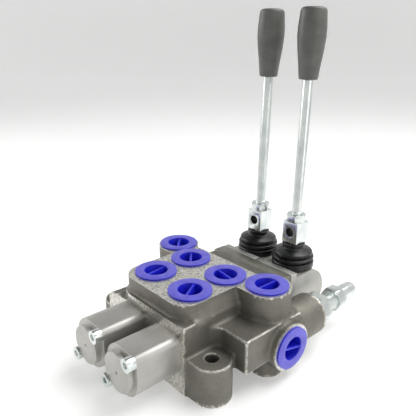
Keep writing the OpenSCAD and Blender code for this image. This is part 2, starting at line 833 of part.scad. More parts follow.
module lever_stem(i) {
    color(zinc) {
        on_lever(i) {
            cylinder(h = block_z, r = stem_d / 2);
            cylinder(h = stem_end, r = rod_thread_d / 2);
        }
        translate([spool_x(i), pivot_y, pivot_z]) {
            sphere(ball_r);
            translate([0, 0, -pivot_rise]) cylinder(h = pivot_rise, r = arm_r);
            translate([0, 0, -pivot_rise]) sphere(tip_r);
        }
    }
}

module clamp_block(i) {
    color(zinc)
        on_lever(i)
            difference() {
                translate([-block_w / 2, -block_w / 2, block_z]) cube([block_w, block_w, block_h]);
                translate([0, 0, block_z - 1])
                    cylinder(h = stem_end + 0.5 - block_z + 1, r = rod_thread_d / 2 + hold_gap);
                translate([0, 0, rod_start - 0.5])
                    cylinder(h = block_h, r = rod_thread_d / 2 + hold_gap);
                rod_y([0, -block_w, side_hole_z], side_hole_d / 2, 2 * block_w);
            }
}

module lock_nut(i) {
    color(zinc)
        on_lever(i)
            translate([0, 0, block_top])
                difference() {
                    hexagon(lock_nut_w, lock_nut_h);
                    translate([0, 0, -1])
                        cylinder(h = lock_nut_h + 2, r = rod_thread_d / 2 + hold_gap);
                }
}

module lever_rod(i) {
    color(zinc)
        on_lever(i)
            translate([0, 0, rod_start]) {
                cylinder(h = thread_end - rod_start, r = rod_thread_d / 2);
                cylinder(h = grip_start + grip_bore_len - rod_start - 1, r = rod_d / 2);
            }
}

module grip(i) {
    low = grip_low_d / 2;
    wide = grip_d / 2;
    top = grip_top_d / 2;
    round_r = 2.5;
    color(grip_brown)
        on_lever(i)
            translate([0, 0, grip_start])
                difference() {
                    rotate_extrude()
                        polygon([[0, 0], [low - 0.6, 0], [low, 0.6], [low + 0.9, grip_len * 0.2],
                                 [wide - 0.7, grip_len * 0.42], [wide, grip_len * 0.6],
                                 [wide, grip_len * 0.72], [top, grip_len - round_r],
                                 for (a = [30, 60, 90]) [top - round_r * (1 - cos(a)),
                                                         grip_len - round_r * (1 - sin(a))],
                                 [0, grip_len]]);
                    translate([0, 0, -1])
                        cylinder(h = grip_bore_len + 1, r = rod_d / 2 + hold_gap);
                }
}

// A rubber boot: square foot, two folds, shoulder and neck
module boot(i) {
    inner = collar_r + free_gap;
    neck = stem_d / 2 + free_gap + boot_h * sin(lever_lean);
    color(rubber)
        translate([spool_x(i), pivot_y, house_top]) {
            linear_extrude(3.5)
                difference() {
                    round_rect([-boot_half, -boot_half], [boot_half, boot_half], boot_corner);
                    circle(inner);
                }
            rotate_extrude()
                polygon([[inner, 1], [boot_r, 1], [boot_r, 4.5], [boot_r - 1.6, 5.3],
                         [boot_r - 0.3, 7], [boot_r - 2.2, 8.6], [boot_r - 1.2, 10.2],
                         [boot_r - 2.4, 12], [boot_neck_r + 1, 13], [boot_neck_r - 0.3, 14.2],
                         [boot_neck_r, boot_h], [neck, boot_h], [neck, 12.4],
                         [inner - 1.2, 10.6], [inner, 8.6]]);
        }
}

// A port plug, its flange on z = 0 and its web turned to the given angle
module port_plug(angle) {
    shank_r = port_d / 2 - plug_gap;
    hollow_r = shank_r - plug_wall;
    difference() {
        union() {
            cylinder(h = plug_flange_t, r = plug_flange_d / 2);
            translate([0, 0, -plug_depth]) cylinder(h = plug_depth, r = shank_r);
        }
        difference() {
            translate([0, 0, plug_wall - plug_depth])
                cylinder(h = plug_depth + plug_flange_t, r = hollow_r);
            rotate(angle)
                translate([-port_d, -plug_wall / 2, -plug_depth])
                    cube([2 * port_d, plug_wall, plug_depth + plug_flange_t - 0.6]);
        }
    }
}

module deck_plug(i, side, angle) {
    color(blue)
        translate([spool_x(i), side * port_spacing / 2, body_h]) port_plug(angle);
}

module plug_a1() { deck_plug(1, -1, 97); }
module plug_a2() { deck_plug(2, -1, 121); }
module plug_b1() { deck_plug(1, 1, 138); }
module plug_b2() { deck_plug(2, 1, -8); }

module plug_inlet_top() {
    color(blue) translate([inlet_x, inlet_y, body_h]) port_plug(89);
}

module plug_outlet() {
    color(blue) translate([-outlet_x, inlet_y, body_h]) port_plug(135);
}

module plug_inlet_side() {
    color(blue) translate([side_port_x, inlet_y, side_port_z]) rotate([0, 90, 0]) port_plug(75);
}

// Places a part drawn along +Z on the relief valve's axis, at the given depth
module on_relief(y) {
    translate([relief_x, y, spool_z]) rotate([-90, 0, 0]) children();
}

module relief_seat() {
    color(steel)
        on_relief(relief_seat_y)
            difference() {
                cylinder(h = relief_seat_len, r = sleeve_d / 2);
                translate([0, 0, -1]) cylinder(h = relief_seat_len + 2, r = relief_hole_d / 2);
            }
}

// Cone-nosed poppet, guided in the sleeve
module relief_poppet() {
    color(steel)
        on_relief(relief_poppet_y) {
            cylinder(h = 2, r1 = relief_hole_d / 2 + 0.6, r2 = relief_bore_d / 2);
            translate([0, 0, 2]) cylinder(h = relief_poppet_len - 2, r = relief_bore_d / 2);
        }
}

module relief_spring() {
    low = relief_poppet_y + relief_poppet_len + hold_gap;
    color(steel)
        on_relief(low) coil(relief_spring_r, relief_wire, adjuster_in_y - low - hold_gap, 5);
}

module relief_sleeve() {
    color(zinc)
        difference() {
            union() {
                on_relief(sleeve_in_y) cylinder(h = relief_y - sleeve_in_y + 1, r = sleeve_d / 2);
                on_relief(relief_y) cylinder(h = washer_t + sleeve_out, r = sleeve_neck_d / 2);
                on_relief(relief_y + washer_t) hexagon(sleeve_hex_w, sleeve_hex_len);
            }
            on_relief(sleeve_in_y - 1)
                cylinder(h = adjuster_in_y - sleeve_in_y + 2, r = relief_bore_d / 2 + run_gap);
            on_relief(sleeve_in_y)
                cylinder(h = sleeve_end_y - sleeve_in_y + 1, r = adjuster_d / 2 + run_gap);
            for (turn = [0, 90])
                on_relief(sleeve_port_y)
                    rotate(turn) rod_x([-sleeve_d, 0, 0], sleeve_port_r, 2 * sleeve_d);
        }
}

module relief_washer() {
    color(zinc)
        on_relief(relief_y)
            difference() {
                cylinder(h = washer_t, r = washer_d / 2);
                translate([0, 0, -1]) cylinder(h = washer_t + 2, r = sleeve_d / 2 + hold_gap);
            }
}

module relief_adjuster() {
    color(steel)
        on_relief(adjuster_in_y)
            difference() {
                cylinder(h = adjuster_end_y - adjuster_in_y, r = adjuster_d / 2);
                translate([0, 0, adjuster_end_y - adjuster_in_y - 4]) hexagon(4, 5);
            }
}

module relief_lock_nut() {
    color(zinc)
        on_relief(sleeve_end_y)
            difference() {
                hexagon(relief_nut_w, relief_nut_h);
                translate([0, 0, -1]) cylinder(h = relief_nut_h + 2, r = adjuster_d / 2 + run_gap);
            }
}

// Domed cap over the adjusting screw
module relief_cap() {
    low = sleeve_end_y + relief_nut_h;
    dome = 3;
    r = relief_cap_d / 2;
    color(zinc)
        on_relief(low)
            difference() {
                rotate_extrude()
                    polygon([[0, 0], [r, 0], [r - 0.4, relief_cap_len - dome],
                             for (a = [30, 60, 90]) [r - 0.4 - dome * (1 - cos(a)),
                                                     relief_cap_len - dome * (1 - sin(a))],
                             [0, relief_cap_len]]);
                translate([0, 0, -1])
                    cylinder(h = adjuster_end_y - low + 2, r = adjuster_d / 2 + free_gap);
            }
}

// Places a part drawn along +Z on the load check's axis, pointing away from its seat
module on_check(x) {
    translate([x, 0, check_z]) rotate([0, -90, 0]) children();
}

module check_poppet() {
    r = check_d / 2;
    color(steel)
        on_check(check_poppet_x)
            difference() {
                union() {
                    cylinder(h = 2, r1 = check_seat_d / 2 + 0.5, r2 = r - 1);
                    translate([0, 0, 2]) cylinder(h = check_poppet_len - 2, r = r);
                }
                translate([0, 0, 4])
                    cylinder(h = check_poppet_len, r = check_spring_r + check_wire / 2 + free_gap);
            }
}

module check_spring() {
    low = check_poppet_x - 4 - hold_gap;
    high = check_plug_x + check_plug_len + hold_gap;
    color(steel)
        on_check(low) coil(check_spring_r, check_wire, low - high, 6);
}

module check_plug() {
    color(zinc)
        on_check(check_plug_x + check_plug_len)
            difference() {
                cylinder(h = check_plug_len, r = check_d / 2);
                translate([0, 0, check_plug_len - 4]) hexagon(6, 5);
            }
}

casting();
joint_plate();
spool_seals();
cap_screws();
housing_screws();
ball_circlips();
for (i = SPOOLS) {
    spool(i);
    spring_cap(i);
    seat_inner(i);
    seat_outer(i);
    centring_spring(i);
    spool_bolt(i);
    lever_housing(i);
    ball_cup(i);
    lever_stem(i);
    clamp_block(i);
    lock_nut(i);
    lever_rod(i);
    grip(i);
    boot(i);
}
plug_a1();
plug_a2();
plug_b1();
plug_b2();
plug_inlet_top();
plug_inlet_side();
plug_outlet();
relief_seat();
relief_poppet();
relief_spring();
relief_sleeve();
relief_washer();
relief_adjuster();
relief_lock_nut();
relief_cap();
check_poppet();
check_spring();
check_plug();
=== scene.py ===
"""Hydraulic monoblock valve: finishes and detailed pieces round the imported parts."""

import json
import math

import bpy
from mathutils import Matrix, Vector


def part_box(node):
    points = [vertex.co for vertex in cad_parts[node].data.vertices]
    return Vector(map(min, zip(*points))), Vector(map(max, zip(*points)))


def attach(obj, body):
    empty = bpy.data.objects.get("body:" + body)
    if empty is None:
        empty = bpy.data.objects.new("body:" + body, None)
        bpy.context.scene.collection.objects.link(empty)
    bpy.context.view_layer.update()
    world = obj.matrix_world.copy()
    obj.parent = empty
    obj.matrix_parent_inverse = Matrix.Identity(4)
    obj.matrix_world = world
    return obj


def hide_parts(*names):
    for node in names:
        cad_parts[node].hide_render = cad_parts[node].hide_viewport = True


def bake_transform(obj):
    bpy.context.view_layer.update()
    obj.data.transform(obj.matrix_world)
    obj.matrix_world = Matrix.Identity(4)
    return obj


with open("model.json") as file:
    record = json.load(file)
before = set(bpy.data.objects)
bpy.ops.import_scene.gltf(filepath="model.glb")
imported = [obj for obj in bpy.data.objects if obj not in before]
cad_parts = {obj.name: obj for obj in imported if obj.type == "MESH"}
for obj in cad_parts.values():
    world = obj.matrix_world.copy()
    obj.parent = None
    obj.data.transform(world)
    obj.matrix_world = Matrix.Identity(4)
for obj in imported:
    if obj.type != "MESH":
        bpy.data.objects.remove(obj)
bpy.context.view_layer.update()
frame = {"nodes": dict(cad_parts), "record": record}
scene = bpy.context.scene

MM = 0.001
DECK = 56 * MM          # machined deck
FRONT = -35.7 * MM      # face that carries the spring caps
SIDE_PORT = 66.5 * MM   # face of the side inlet
RELIEF_END = 63.2 * MM  # face under the relief valve's washer
DRAFT_START = -20 * MM  # where the deck's sloping right wall begins
SPOOL_HEIGHT = 24 * MM
SPOOL_X = {1: -17.5 * MM, 2: 17.5 * MM}
RELIEF_X = sum(corner.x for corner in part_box("relief_washer")) / 2
PIVOT_Y = 85 * MM       # ball of each lever
PIVOT_Z = 42 * MM
LEAN = math.radians(1.9)
SIDE_HOLE = 26.15 * MM  # tapped hole in a clamp block, along the lever from its ball
NUT_TOP = 39.6 * MM     # top of a lever's lock nut, along the lever from its ball
LYING = math.radians(-90)  # turns a piece's Z to the levers' side


# Working by hand: what is selected, and what is done to it

def pick(*pieces):
    bpy.ops.object.select_all(action="DESELECT")
    for piece in pieces:
        piece.select_set(True)
    bpy.context.view_layer.objects.active = pieces[0]


def open_mesh(piece, everything=True):
    pick(piece)
    bpy.ops.object.mode_set(mode="EDIT")
    bpy.ops.mesh.select_mode(type="VERT")
    bpy.ops.mesh.select_all(action="SELECT" if everything else "DESELECT")


def close_mesh():
    bpy.ops.object.mode_set(mode="OBJECT")


def settle(piece):
    """Puts a piece's place into its mesh."""
    pick(piece)
    bpy.ops.object.transform_apply(location=True, rotation=True, scale=True)
    return piece


def named(name):
    piece = bpy.context.active_object
    piece.name = piece.data.name = name
    return piece


def keep(piece, kind, **settings):
    """Adds a modifier with these settings and applies it."""
    pick(piece)
    modifier = piece.modifiers.new("shape", kind)
    for key, value in settings.items():
        setattr(modifier, key, value)
    bpy.ops.object.modifier_apply(modifier=modifier.name)


def taken_from(node, name):
    """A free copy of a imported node, its triangles welded and its flat faces made whole."""
    piece = bpy.data.objects.new(name, frame["nodes"][node].data.copy())
    scene.collection.objects.link(piece)
    piece.data.materials.clear()
    open_mesh(piece)
    bpy.ops.mesh.customdata_custom_splitnormals_clear()
    bpy.ops.mesh.remove_doubles(threshold=0.002 * MM)
    bpy.ops.mesh.dissolve_limited(angle_limit=math.radians(0.5))
    close_mesh()
    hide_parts(node)
    return piece


def rounded(piece, width, segments=3, angle=35):
    keep(piece, "BEVEL", width=width, segments=segments, limit_method="ANGLE",
         angle_limit=math.radians(angle), harden_normals=False)
    return smooth(piece, angle)


def smooth(piece, angle=35):
    pick(piece)
    bpy.ops.object.shade_smooth_by_angle(angle=math.radians(angle))
    return piece


def select_faces(piece, wanted):
    """Leaves only the wanted faces selected, in edit mode."""
    open_mesh(piece, everything=False)
    bpy.ops.mesh.select_mode(type="FACE")
    close_mesh()
    for face in piece.data.polygons:
        face.select = wanted(face.center, face.normal)
    bpy.ops.object.mode_set(mode="EDIT")


def ring(piece_name, radius, centre, turn=(0, 0, 0), corners=96):
    bpy.ops.object.select_all(action="DESELECT")
    bpy.ops.mesh.primitive_circle_add(vertices=corners, radius=radius, location=centre,
                                      rotation=turn)
    return named(piece_name)


def cut_away(piece, tool):
    keep(piece, "BOOLEAN", operation="DIFFERENCE", solver="EXACT", object=tool)
    bpy.data.objects.remove(tool)


def keep_common(piece, tool):
    keep(piece, "BOOLEAN", operation="INTERSECT", solver="EXACT", object=tool)
    bpy.data.objects.remove(tool)


def barrel(centre, turn, radius, length, edge):
    """A cylinder with turned-down rims, for trimming the corners off a hexagon."""
    bpy.ops.object.select_all(action="DESELECT")
    bpy.ops.mesh.primitive_cylinder_add(vertices=96, radius=radius, depth=length,
                                        location=centre, rotation=turn)
    tool = settle(named("barrel"))
    keep(tool, "BEVEL", width=edge, segments=2, limit_method="ANGLE",
         angle_limit=math.radians(60), profile=0.5)
    return tool


def thread(name, centre, turn, radius, pitch, length):
    """A helical ridge wound on a shank, from a small tooth that is screwed along its axis."""
    bpy.ops.object.select_all(action="DESELECT")
    bpy.ops.mesh.primitive_circle_add(vertices=3, radius=pitch * 0.5, location=(radius, 0, 0),
                                      rotation=(math.pi / 2, math.pi / 2, 0))
    tooth = settle(named(name))
    open_mesh(tooth)
    bpy.ops.transform.resize(value=(0.9, 1, 1.05), center_override=(radius, 0, 0))
    close_mesh()
    turns = int(length / pitch)
    keep(tooth, "SCREW", axis="Z", angle=math.tau, screw_offset=pitch, iterations=turns,
         steps=36, render_steps=36, use_normal_calculate=True)
    open_mesh(tooth)
    bpy.ops.mesh.remove_doubles(threshold=0.001 * MM)
    bpy.ops.mesh.select_all(action="DESELECT")
    bpy.ops.mesh.select_non_manifold()
    bpy.ops.mesh.edge_face_add()
    bpy.ops.mesh.select_all(action="SELECT")
    bpy.ops.mesh.normals_make_consistent(inside=False)
    close_mesh()
    start = Matrix.Translation((0, 0, -length / 2))
    tooth.data.transform(Matrix.Translation(centre) @ turn @ start)
    return smooth(tooth, 40)


# Finishes

class Value:
    """A shader socket that can stand in a sum."""

    def __init__(self, finish, socket):
        self.finish, self.socket = finish, socket

    def sum(self, operation, *parts):
        return self.finish.node("ShaderNodeMath", {"operation": operation}, *parts)

    def __add__(self, other):
        return self.sum("ADD", self, other)

    __radd__ = __add__

    def __sub__(self, other):
        return self.sum("SUBTRACT", self, other)

    def __rsub__(self, other):
        return self.sum("SUBTRACT", other, self)

    def __mul__(self, other):
        return self.sum("MULTIPLY", self, other)

    __rmul__ = __mul__

    def __gt__(self, other):
        return self.sum("GREATER_THAN", self, other)

    def __lt__(self, other):
        return self.sum("LESS_THAN", self, other)

    def __or__(self, other):
        return self.sum("MAXIMUM", self, other)


class Finish:
    """One material, built round a Principled shader."""

    def __init__(self, name, **constants):
        self.material = bpy.data.materials.new(name)
        self.material.use_nodes = True
        self.tree = self.material.node_tree
        self.shader = self.tree.nodes["Principled BSDF"]
        for socket, value in constants.items():
            label = socket.replace("_", " ").title().replace("Ior", "IOR")
            self.shader.inputs[label].default_value = value
        self.place = self.node("ShaderNodeTexCoord", {}, out="Object")

    def node(self, kind, settings, *values, out=0, **sockets):
        made = self.tree.nodes.new(kind)
        for key, value in settings.items():
            setattr(made, key, value)
        for key, value in [*enumerate(values), *sockets.items()]:
            socket = made.inputs[key]
            if isinstance(value, Value):
                self.tree.links.new(value.socket, socket)
            else:
                socket.default_value = value
        return Value(self, made.outputs[out])

    def noise(self, scale, detail=3.0, rough=0.5, place=None):
        return self.node("ShaderNodeTexNoise", {}, Vector=place or self.place, Scale=scale,
                         Detail=detail, Roughness=rough)

    def stretched(self, scale):
        return self.node("ShaderNodeMapping", {}, Vector=self.place, Scale=scale)

    def spread(self, value, low, high, to_low=0.0, to_high=1.0):
        return self.node("ShaderNodeMapRange", {"clamp": True}, value, low, high, to_low, to_high)

    def blend(self, share, first, second):
        made = self.tree.nodes.new("ShaderNodeMix")
        made.data_type = "RGBA"
        for key, value in ((0, share), (6, first), (7, second)):
            if isinstance(value, Value):
                self.tree.links.new(value.socket, made.inputs[key])
            elif key:
                made.inputs[key].default_value = (*value, 1)
            else:
                made.inputs[key].default_value = value
        return Value(self, made.outputs[2])

    def axis(self, letter):
        return self.node("ShaderNodeSeparateXYZ", {}, self.place, out=letter)

    def edges(self, low, high):
        """Share of wear and painted highlight on the convex edges."""
        point = self.node("ShaderNodeNewGeometry", {}, out="Pointiness")
        return self.spread(point, low, high)

    def bump(self, height, strength, reach):
        return self.node("ShaderNodeBump", {}, Strength=strength, Distance=reach, Height=height)

    def wears(self, colour=None, roughness=None, metallic=None, normal=None):
        for name, value in (("Base Color", colour), ("Roughness", roughness),
                            ("Metallic", metallic), ("Normal", normal)):
            if value is not None:
                self.tree.links.new(value.socket, self.shader.inputs[name])
        return self.material


def shot_blasted_iron():
    f = Finish("shot_blasted_iron", specular_ior_level=0.5)
    patches, grain, peen = f.noise(70, 3), f.noise(1500, 5, 0.65), f.noise(620, 4, 0.6)
    dents = f.node("ShaderNodeTexVoronoi", {"feature": "SMOOTH_F1"}, Vector=f.place, Scale=900.0)
    x, y, z = f.axis("X"), f.axis("Y"), f.axis("Z")
    cut_skin = 0.05 * MM
    machined = (z > DECK - cut_skin) | (y < FRONT + cut_skin) | (x > SIDE_PORT - cut_skin) \
        | (y > RELIEF_END - cut_skin) | (z < cut_skin)
    # Convex edges are lightened almost to white: partly worn metal, partly a painted highlight.
    wear_and_edge_highlight = f.edges(0.512, 0.545) * f.spread(peen, 0.3, 0.55)
    # Painted shade: concave places (low pointiness) are darkened almost to black, in the hollows
    # and recesses.
    painted_hollow_shade = f.spread(f.node("ShaderNodeNewGeometry", {}, out="Pointiness"), 0.40, 0.49, 1.0, 0.0)
    skin = f.blend(f.spread(patches, 0.35, 0.65), (0.142, 0.136, 0.113), (0.196, 0.188, 0.162))
    skin = f.blend(f.spread(grain, 0.42, 0.72) * 0.34, skin, (0.36, 0.345, 0.305))
    skin = f.blend(f.spread(grain, 0.42, 0.28) * 0.4, skin, (0.075, 0.069, 0.055))
    skin = f.blend(painted_hollow_shade * 0.95, skin, (0.026, 0.025, 0.02))
    skin = f.blend(machined * 0.45, skin, (0.30, 0.295, 0.262))
    skin = f.blend(wear_and_edge_highlight * 0.9, skin, (0.78, 0.76, 0.70))
    rough = f.spread(grain, 0.3, 0.7, 0.42, 0.58) - machined * 0.06 - wear_and_edge_highlight * 0.12
    metal = 0.72 + wear_and_edge_highlight * 0.2
    height = (grain * 0.5 + peen * 0.6 + dents * 0.35) * (1 - machined * 0.75)
    return f.wears(skin, rough, metal, f.bump(height, strength=0.55, reach=0.35 * MM))


def machined_iron():
    f = Finish("machined_iron")
    patches, grain = f.noise(90, 3), f.noise(1700, 4, 0.6)
    lines = f.noise(9, 2, place=f.stretched((30, 900, 900)))
    skin = f.blend(f.spread(patches, 0.35, 0.65), (0.200, 0.198, 0.166), (0.262, 0.256, 0.222))
    skin = f.blend(f.spread(lines, 0.45, 0.7) * 0.4, skin, (0.34, 0.33, 0.295))
    return f.wears(skin, f.spread(grain, 0.3, 0.7, 0.34, 0.5), 0.8 + grain * 0.05,
                   f.bump(grain * 0.6 + lines * 0.5, strength=0.35, reach=0.2 * MM))


def die_cast_aluminium():
    f = Finish("die_cast_aluminium")
    cloud, grain = f.noise(45, 3), f.noise(2200, 4, 0.6)
    drawn = f.noise(10, 3, place=f.stretched((260, 8, 260)))
    skin = f.blend(f.spread(cloud, 0.35, 0.65), (0.43, 0.425, 0.40), (0.52, 0.51, 0.485))
    skin = f.blend(f.spread(grain, 0.55, 0.75) * 0.3, skin, (0.66, 0.65, 0.62))
    rough = f.spread(drawn, 0.3, 0.7, 0.40, 0.52)
    return f.wears(skin, rough, 0.9 - grain * 0.1,
                   f.bump(grain * 0.6 + drawn * 0.4, strength=0.22, reach=0.15 * MM))


def bright_zinc():
    f = Finish("bright_zinc")
    cloud, grain = f.noise(120, 3), f.noise(1800, 3)
    streaks = f.noise(9, 3, place=f.stretched((420, 420, 14)))
    skin = f.blend(f.spread(cloud, 0.3, 0.7), (0.60, 0.65, 0.64), (0.76, 0.79, 0.765))
    skin = f.blend(f.spread(streaks, 0.55, 0.75) * 0.35, skin, (0.48, 0.54, 0.56))
    return f.wears(skin, f.spread(streaks, 0.3, 0.7, 0.16, 0.33), 0.96 - grain * 0.05,
                   f.bump(grain * 0.4 + streaks * 0.6, strength=0.18, reach=0.12 * MM))


def ground_steel():
    f = Finish("ground_steel")
    rings = f.noise(8, 2, place=f.stretched((60, 1400, 60)))
    skin = f.blend(f.spread(rings, 0.35, 0.65), (0.44, 0.45, 0.47), (0.60, 0.61, 0.63))
    return f.wears(skin, f.spread(rings, 0.3, 0.7, 0.18, 0.32), None,
                   f.bump(rings, strength=0.12, reach=0.1 * MM))


def blue_plug_plastic():
    f = Finish("blue_plug_plastic", subsurface_weight=0.12, subsurface_scale=1.2 * MM)
    sheen, scuff = f.noise(160, 3), f.noise(1500, 3)
    flange = 0.85 * MM
    # Painted sheen: more than 0.85 mm above the deck or the side port face the blue is painted
    # paler; lower down it keeps the plastic's deep blue.
    painted_sheen_zone = (f.axis("Z") > DECK + flange) | (f.axis("X") > SIDE_PORT + flange)
    deep = f.blend(f.spread(sheen, 0.3, 0.7), (0.008, 0.010, 0.50), (0.014, 0.018, 0.66))
    painted_sheen_blue = f.blend(f.spread(sheen, 0.3, 0.7), (0.100, 0.090, 0.55), (0.130, 0.117, 0.62))
    painted_sheen_blue = f.blend(f.spread(scuff, 0.62, 0.8) * 0.4, painted_sheen_blue, (0.35, 0.34, 0.85))
    return f.wears(f.blend(painted_sheen_zone, deep, painted_sheen_blue), 0.34 + scuff * 0.16, None,
                   f.bump(scuff, strength=0.15, reach=0.1 * MM))


# Near-black thread finish for the inside of tapped holes: painted shade.
def shaded_bore_thread():
    f = Finish("shaded_bore_thread", metallic=0.6)
    bore_mottle = f.noise(500, 3)
    turns = f.noise(4, 2, place=f.stretched((900, 900, 900)))
    skin = f.blend(f.spread(bore_mottle, 0.35, 0.65), (0.018, 0.020, 0.016), (0.060, 0.064, 0.055))
    return f.wears(skin, f.spread(bore_mottle, 0.3, 0.7, 0.28, 0.5), None,
                   f.bump(turns, strength=0.5, reach=0.2 * MM))


def black_rubber():
    f = Finish("black_rubber", sheen_weight=0.06, sheen_roughness=0.4)
    bloom, grain = f.noise(110, 4, 0.6), f.noise(1600, 4)
    skin = f.blend(f.spread(bloom, 0.4, 0.7), (0.0045, 0.005, 0.0053), (0.012, 0.0128, 0.0132))
    return f.wears(skin, f.spread(bloom, 0.35, 0.7, 0.26, 0.40), None,
                   f.bump(grain * 0.7 + bloom * 0.3, strength=0.2, reach=0.15 * MM))


def grip_plastic():
    f = Finish("grip_plastic", coat_weight=0.12, coat_roughness=0.35)
    cloud, grain = f.noise(140, 3), f.noise(2400, 4, 0.7)
    skin = f.blend(f.spread(cloud, 0.35, 0.65), (0.076, 0.076, 0.069), (0.100, 0.100, 0.091))
    skin = f.blend(f.spread(grain, 0.6, 0.8) * 0.3, skin, (0.16, 0.16, 0.145))
    return f.wears(skin, f.spread(grain, 0.3, 0.7, 0.36, 0.52), None,
                   f.bump(grain, strength=0.3, reach=0.14 * MM))


finishes = {
    "cast_iron": machined_iron(),
    "die_cast_aluminium": die_cast_aluminium(),
    "zinc_plate": bright_zinc(),
    "ground_steel": ground_steel(),
    "plug_plastic": blue_plug_plastic(),
    "rubber": black_rubber(),
    "grip_plastic": grip_plastic(),
}
blasted = shot_blasted_iron()
bore_shade = shaded_bore_thread()
slot_of = {part["node"]: part["material_slot"] for part in frame["record"]["subparts"]}
body_of = {node: body for body, nodes in frame["record"]["behaviour"]["bodies"].items()
           for node in nodes}


def fit(piece, node, finish=None):
    """Gives a piece its finish and lets it ride with the node that it belongs to."""
    piece.data.materials.clear()
    piece.data.materials.append(finish or finishes[slot_of[node]])
    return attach(piece, body_of[node])


for node, shown in frame["nodes"].items():
    shown.data.materials.clear()
    shown.data.materials.append(finishes[slot_of[node]])


# The casting: stock on the machined faces, soft cast edges, then the machining cuts

def cast_block():
    piece = taken_from("casting", "cast_block")
    stock = 3 * MM
    draft_x, draft_foot, draft_reach = 29 * MM, 44 * MM, 6 * MM
    cuts = (
        ((0, 0, 1), (0, 0, DECK)),
        ((0, 0, -1), (0, 0, 0)),
        ((0, -1, 0), (0, FRONT, 0)),
        ((1, 0, 0), (SIDE_PORT, 0, 0)),
        ((0, 1, 0), (0, RELIEF_END, 0)),
    )
    for way, place in cuts:
        way, place = Vector(way), Vector(place)
        select_faces(piece, lambda centre, normal: abs((centre - place).dot(way)) < 0.02 * MM
                     and normal.dot(way) > 0.99)
        bpy.ops.transform.translate(value=way * stock)
        close_mesh()
    keep(piece, "REMESH", mode="VOXEL", voxel_size=0.85 * MM, use_smooth_shade=True)
    keep(piece, "SMOOTH", factor=0.5, iterations=5)
    # The sloping wall runs into the deck's round corner without a step
    select_faces(piece, lambda centre, normal: centre.x > draft_x and centre.z > draft_foot
                 and abs(centre.y - DRAFT_START) < draft_reach)
    bpy.ops.mesh.vertices_smooth(factor=0.5, repeat=30)
    close_mesh()
    keep(piece, "DECIMATE", decimate_type="COLLAPSE", ratio=0.62)
    for way, place in cuts:
        open_mesh(piece)
        bpy.ops.mesh.bisect(plane_co=place, plane_no=way, use_fill=True, clear_outer=True,
                            threshold=0.001 * MM)
        close_mesh()
    fit(smooth(piece, 32), "casting", blasted)


# Boots: two folds and a lipped neck on a square foot, moulded in one

def boot(i):
    foot_w, foot_h, foot_corner = 28 * MM, 4.4 * MM, 7 * MM
    collar_r, collar_depth = 12.35 * MM, 20 * MM
    x = SPOOL_X[i]
    foot_z, top_z = (corner.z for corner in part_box(f"boot_{i}"))
    bpy.ops.object.select_all(action="DESELECT")
    bpy.ops.mesh.primitive_cube_add(size=1, location=(x, PIVOT_Y, foot_z + foot_h / 2),
                                    scale=(foot_w, foot_w, foot_h))
    piece = settle(named(f"rubber_boot_{i}"))
    select_faces(piece, lambda centre, normal: abs(normal.z) < 0.1)
    bpy.ops.mesh.select_mode(type="EDGE")
    close_mesh()
    for edge in piece.data.edges:
        a, b = (piece.data.vertices[k].co for k in edge.vertices)
        edge.select = abs(a.z - b.z) > 1 * MM
    bpy.ops.object.mode_set(mode="EDIT")
    bpy.ops.mesh.bevel(offset=foot_corner, segments=10)
    close_mesh()
    # Wall of the bellows as radius and height in mm, outside going up and inside coming down
    wall = ((12.6, 0), (15.2, 0), (15.45, 2.5), (15.45, 4.4), (14.9, 5.1), (13.0, 5.5),
            (12.9, 6.2), (14.9, 6.8), (15.3, 7.5), (15.0, 8.6), (12.4, 9.4), (12.2, 10.2),
            (13.7, 10.6), (14.2, 11.4), (13.5, 12.4), (9.4, 13.9), (7.7, 14.5), (7.6, 16.3),
            (8.3, 16.7), (8.3, 18.2), (5.5, 18.2), (5.5, 13.6), (10.3, 11.4), (11.3, 8.2),
            (12.35, 6.6))
    loop = ring("bellows", wall[0][0] * MM, (x, PIVOT_Y, foot_z))
    settle(loop)
    open_mesh(loop)
    for (r0, z0), (r1, z1) in zip(wall, wall[1:]):
        bpy.ops.mesh.extrude_edges_move(TRANSFORM_OT_translate={"value": (0, 0, (z1 - z0) * MM)})
        bpy.ops.transform.resize(value=(r1 / r0, r1 / r0, 1),
                                 center_override=(x, PIVOT_Y, foot_z + z1 * MM))
    bpy.ops.mesh.select_all(action="SELECT")
    bpy.ops.mesh.remove_doubles(threshold=0.001 * MM)
    bpy.ops.mesh.select_all(action="DESELECT")
    bpy.ops.mesh.select_non_manifold()
    bpy.ops.mesh.bridge_edge_loops()
    bpy.ops.mesh.select_all(action="SELECT")
    bpy.ops.mesh.normals_make_consistent(inside=False)
    close_mesh()
    bpy.ops.object.select_all(action="DESELECT")
    bpy.ops.mesh.primitive_cylinder_add(vertices=96, radius=collar_r, depth=collar_depth,
                                        location=(x, PIVOT_Y, foot_z))
    cut_away(piece, settle(named("collar_room")))
    pick(piece, loop)
    bpy.ops.object.join()
    keep(piece, "REMESH", mode="VOXEL", voxel_size=0.34 * MM, use_smooth_shade=True)
    keep(piece, "SMOOTH", factor=0.5, iterations=2)
    keep(piece, "DECIMATE", decimate_type="COLLAPSE", ratio=0.4)
    piece.data.materials.append(finishes["rubber"])
    smooth(piece, 60)
    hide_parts(f"boot_{i}")
    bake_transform(piece)


# The other pieces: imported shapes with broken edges, drill marks, threads and chamfers

def spring_cap(i):
    piece = taken_from(f"spring_cap_{i}", f"end_cap_{i}")
    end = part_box(f"spring_cap_{i}")[0].y
    rounded(piece, 0.7 * MM)
    bpy.ops.object.select_all(action="DESELECT")
    bpy.ops.mesh.primitive_cone_add(vertices=32, radius1=1.2 * MM, radius2=0.3 * MM,
                                    depth=2 * MM, rotation=(LYING, 0, 0),
                                    location=(SPOOL_X[i], end + 0.5 * MM, SPOOL_HEIGHT))
    cut_away(piece, settle(named("centre_drill")))
    fit(smooth(piece), f"spring_cap_{i}")


